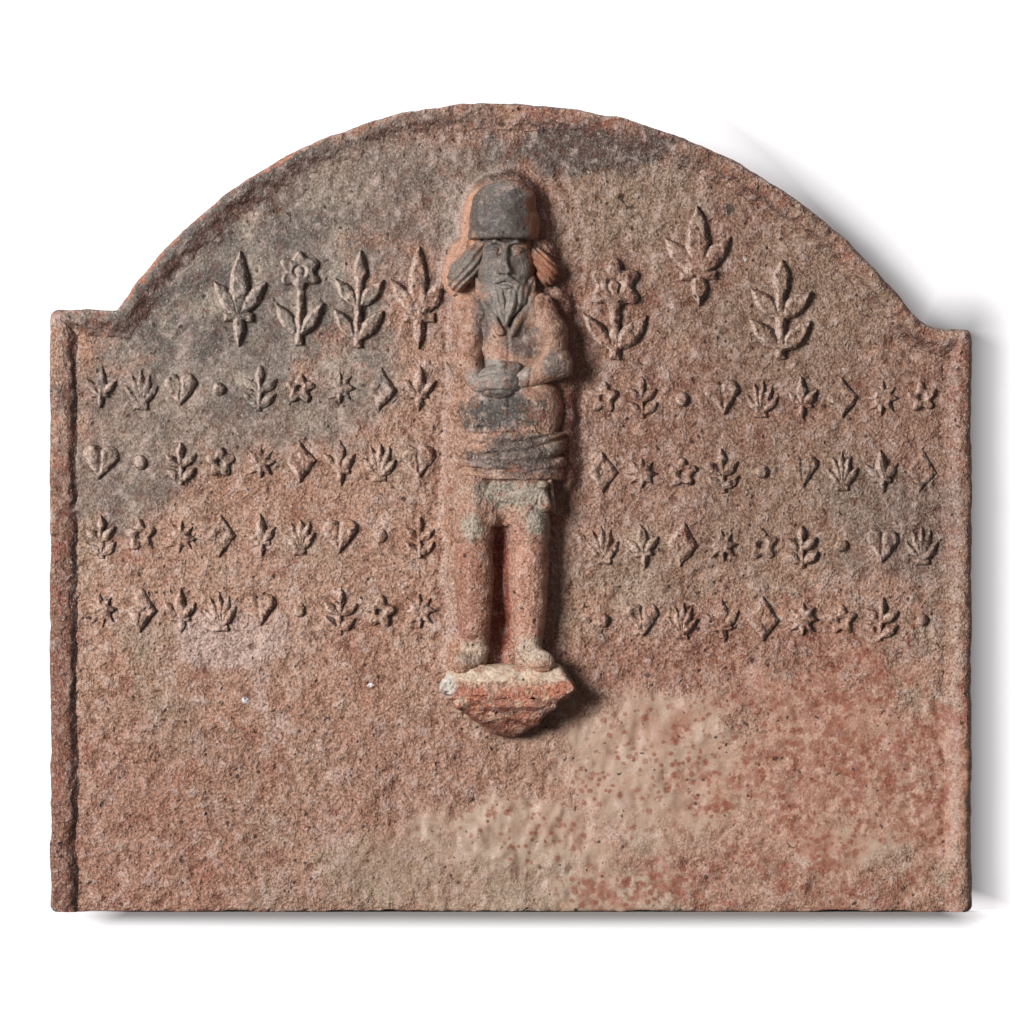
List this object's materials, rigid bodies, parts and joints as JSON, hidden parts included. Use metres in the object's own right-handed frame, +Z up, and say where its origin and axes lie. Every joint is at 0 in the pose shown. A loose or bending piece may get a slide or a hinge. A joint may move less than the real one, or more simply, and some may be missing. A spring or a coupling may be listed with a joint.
{
  "type": "fireback",
  "caption": "Arched cast-iron fireback with a moulded rim, rows of small stamped ornaments and a standing figure on a console.",
  "frame": {"origin": "at the foot, in the middle of the whole width and of the whole depth", "axes": "+X across to the viewer's right, +Y from the figured face to the back, +Z up"},
  "size_m": [0.71, 0.066, 0.623],
  "materials": {
    "plate_iron": "sand-cast, with pits and red-brown rust",
    "rim_iron": "sand-cast, worn smoother on the flat, rust in the slope",
    "stamp_iron": "sand-cast, worn rounded edges",
    "figure_iron": "sand-cast, orange rust at the sides, graphite grey on the heights",
    "console_iron": "sand-cast, pale bloom with red spots"
  },
  "bodies": {
    "root": {"back_plate": "plate_iron", "left_side_moulding": "rim_iron", "left_shoulder_moulding": "rim_iron", "left_arch_moulding": "rim_iron", "right_arch_moulding": "rim_iron", "right_hollow_moulding": "rim_iron", "right_shoulder_moulding": "rim_iron", "right_side_moulding": "rim_iron", "large_stamps_left": "stamp_iron", "large_stamps_right": "stamp_iron", "stamp_row_left_1": "stamp_iron", "stamp_row_left_2": "stamp_iron", "stamp_row_left_3": "stamp_iron", "stamp_row_left_4": "stamp_iron", "stamp_row_right_1": "stamp_iron", "stamp_row_right_2": "stamp_iron", "stamp_row_right_3": "stamp_iron", "stamp_row_right_4": "stamp_iron", "cap": "figure_iron", "head": "figure_iron", "beard": "figure_iron", "hair_left": "figure_iron", "hair_right": "figure_iron", "jerkin": "figure_iron", "arm_left": "figure_iron", "arm_right": "figure_iron", "hands": "figure_iron", "coat_skirt": "figure_iron", "breeches": "figure_iron", "bow": "figure_iron", "leg_left": "figure_iron", "leg_right": "figure_iron", "shoe_left": "figure_iron", "shoe_right": "figure_iron", "console_shelf": "console_iron", "console_corbel": "console_iron"}
  },
  "joints": []
}
